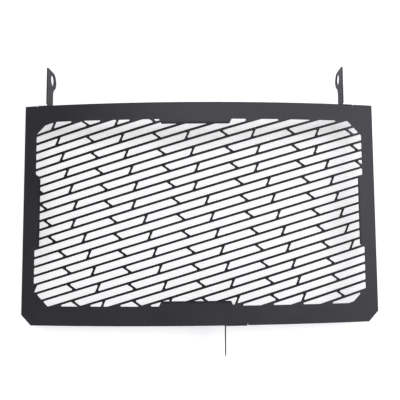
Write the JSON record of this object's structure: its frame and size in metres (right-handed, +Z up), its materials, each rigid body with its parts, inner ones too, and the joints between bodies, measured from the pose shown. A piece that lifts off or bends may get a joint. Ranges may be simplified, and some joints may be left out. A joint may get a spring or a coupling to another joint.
{
  "type": "motorcycle radiator guard",
  "caption": "Gently bowed sheet-metal grille with slanted bars and tie links, two drilled ears folded back at the top and a drilled tab folded back below.",
  "frame": {"origin": "centre of the hole in the ear at the left, in the middle of that ear's wall", "axes": "+X along the width to the other ear, +Y to the back where the radiator stands, +Z up; the front face looks along -Y"},
  "size_m": [0.348, 0.0396, 0.284],
  "materials": {
    "powder_coat": "satin black powder coat on cut and folded steel sheet"
  },
  "bodies": {
    "root": {"guard_sheet": "powder_coat"}
  },
  "joints": []
}
